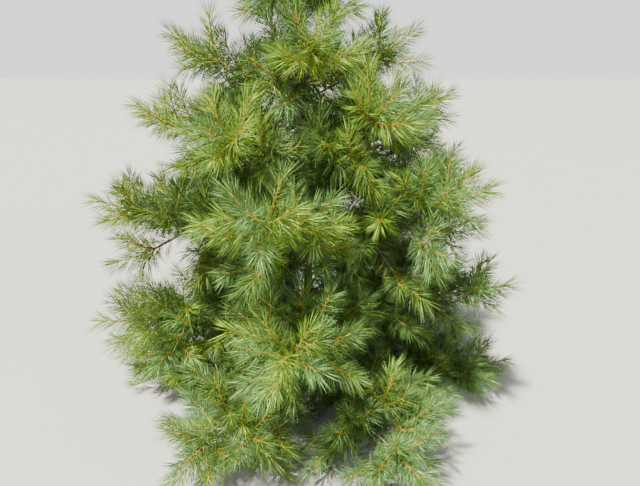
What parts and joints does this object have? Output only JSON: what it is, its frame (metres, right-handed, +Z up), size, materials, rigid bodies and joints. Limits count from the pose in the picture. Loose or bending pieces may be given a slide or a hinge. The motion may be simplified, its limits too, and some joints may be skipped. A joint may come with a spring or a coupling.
{
  "type": "young soft pine tree",
  "caption": "Young soft pine rooted in the ground: a gently leaning trunk, boughs in yearly rings, and open masses of long soft needles up to a pointed leader.",
  "frame": {"origin": "middle of the flat cut under the trunk, at ground level", "axes": "+Z up the trunk, -Y towards the side that the picture shows, +X to its right"},
  "size_m": [2.1516, 1.9367, 2.4134],
  "materials": {
    "bark": "smooth grey young bark with fine cracks and resin specks",
    "needles": "satin green needles with paler undersides"
  },
  "bodies": {
    "root": {"trunk": "bark", "bough_1_1": "bark", "bough_1_2": "bark", "bough_1_3": "bark", "bough_1_4": "bark", "bough_1_5": "bark", "bough_1_6": "bark", "bough_2_1": "bark", "bough_2_2": "bark", "bough_2_3": "bark", "bough_2_4": "bark", "bough_2_5": "bark", "bough_3_1": "bark", "bough_3_2": "bark", "bough_3_3": "bark", "bough_3_4": "bark", "bough_3_5": "bark", "bough_3_6": "bark", "bough_4_1": "bark", "bough_4_2": "bark", "bough_4_3": "bark", "bough_4_4": "bark", "bough_4_5": "bark", "bough_4_6": "bark", "bough_5_1": "bark", "bough_5_2": "bark", "bough_5_3": "bark", "bough_5_4": "bark", "needles_1_1": "needles", "needles_1_2": "needles", "needles_1_3": "needles", "needles_1_4": "needles", "needles_1_5": "needles", "needles_1_6": "needles", "needles_2_1": "needles", "needles_2_2": "needles", "needles_2_3": "needles", "needles_2_4": "needles", "needles_2_5": "needles", "needles_3_1": "needles", "needles_3_2": "needles", "needles_3_3": "needles", "needles_3_4": "needles", "needles_3_5": "needles", "needles_3_6": "needles", "needles_4_1": "needles", "needles_4_2": "needles", "needles_4_3": "needles", "needles_4_4": "needles", "needles_4_5": "needles", "needles_4_6": "needles", "needles_5_1": "needles", "needles_5_2": "needles", "needles_5_3": "needles", "needles_5_4": "needles", "needles_6_1": "needles", "needles_6_2": "needles", "needles_6_3": "needles", "needles_6_4": "needles", "needles_leader": "needles"}
  },
  "joints": []
}
